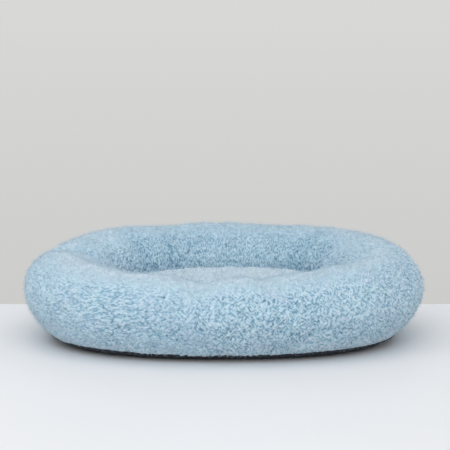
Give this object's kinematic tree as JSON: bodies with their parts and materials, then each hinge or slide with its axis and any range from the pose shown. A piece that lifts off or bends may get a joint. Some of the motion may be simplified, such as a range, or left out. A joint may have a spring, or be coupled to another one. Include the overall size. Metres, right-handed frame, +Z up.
{
  "type": "pet lounger",
  "caption": "Oval plush lounger for a small pet: stuffed fleece rim, low in front, round a sleeping well with a loose crowned cushion, on a dark base cloth.",
  "frame": {"origin": "on the floor, under the middle of the bed's outline", "axes": "+X along the long side, +Y from the low front to the high back, +Z up"},
  "size_m": [0.53, 0.43, 0.1284],
  "materials": {
    "fleece": "curly pile, pale sky blue, matte with a soft sheen",
    "base_cloth": "tight dark weave, matte",
    "lining": "plain grey nonwoven lining",
    "fibre_filling": "white hollow fibre"
  },
  "bodies": {
    "bed": {"rim_cover_front": "fleece", "rim_cover_rear": "fleece", "rim_filling": "fibre_filling", "base_cloth": "base_cloth", "floor_wadding": "fibre_filling", "floor_lining": "lining"},
    "cushion": {"cushion_top_cover": "fleece", "cushion_bottom_cover": "base_cloth", "cushion_filling": "fibre_filling"}
  },
  "joints": [
    {"name": "cushion_lift", "type": "slide", "parent": "bed", "child": "cushion", "axis": [0, 0, 1], "range_m": [0, 0.16]}
  ]
}
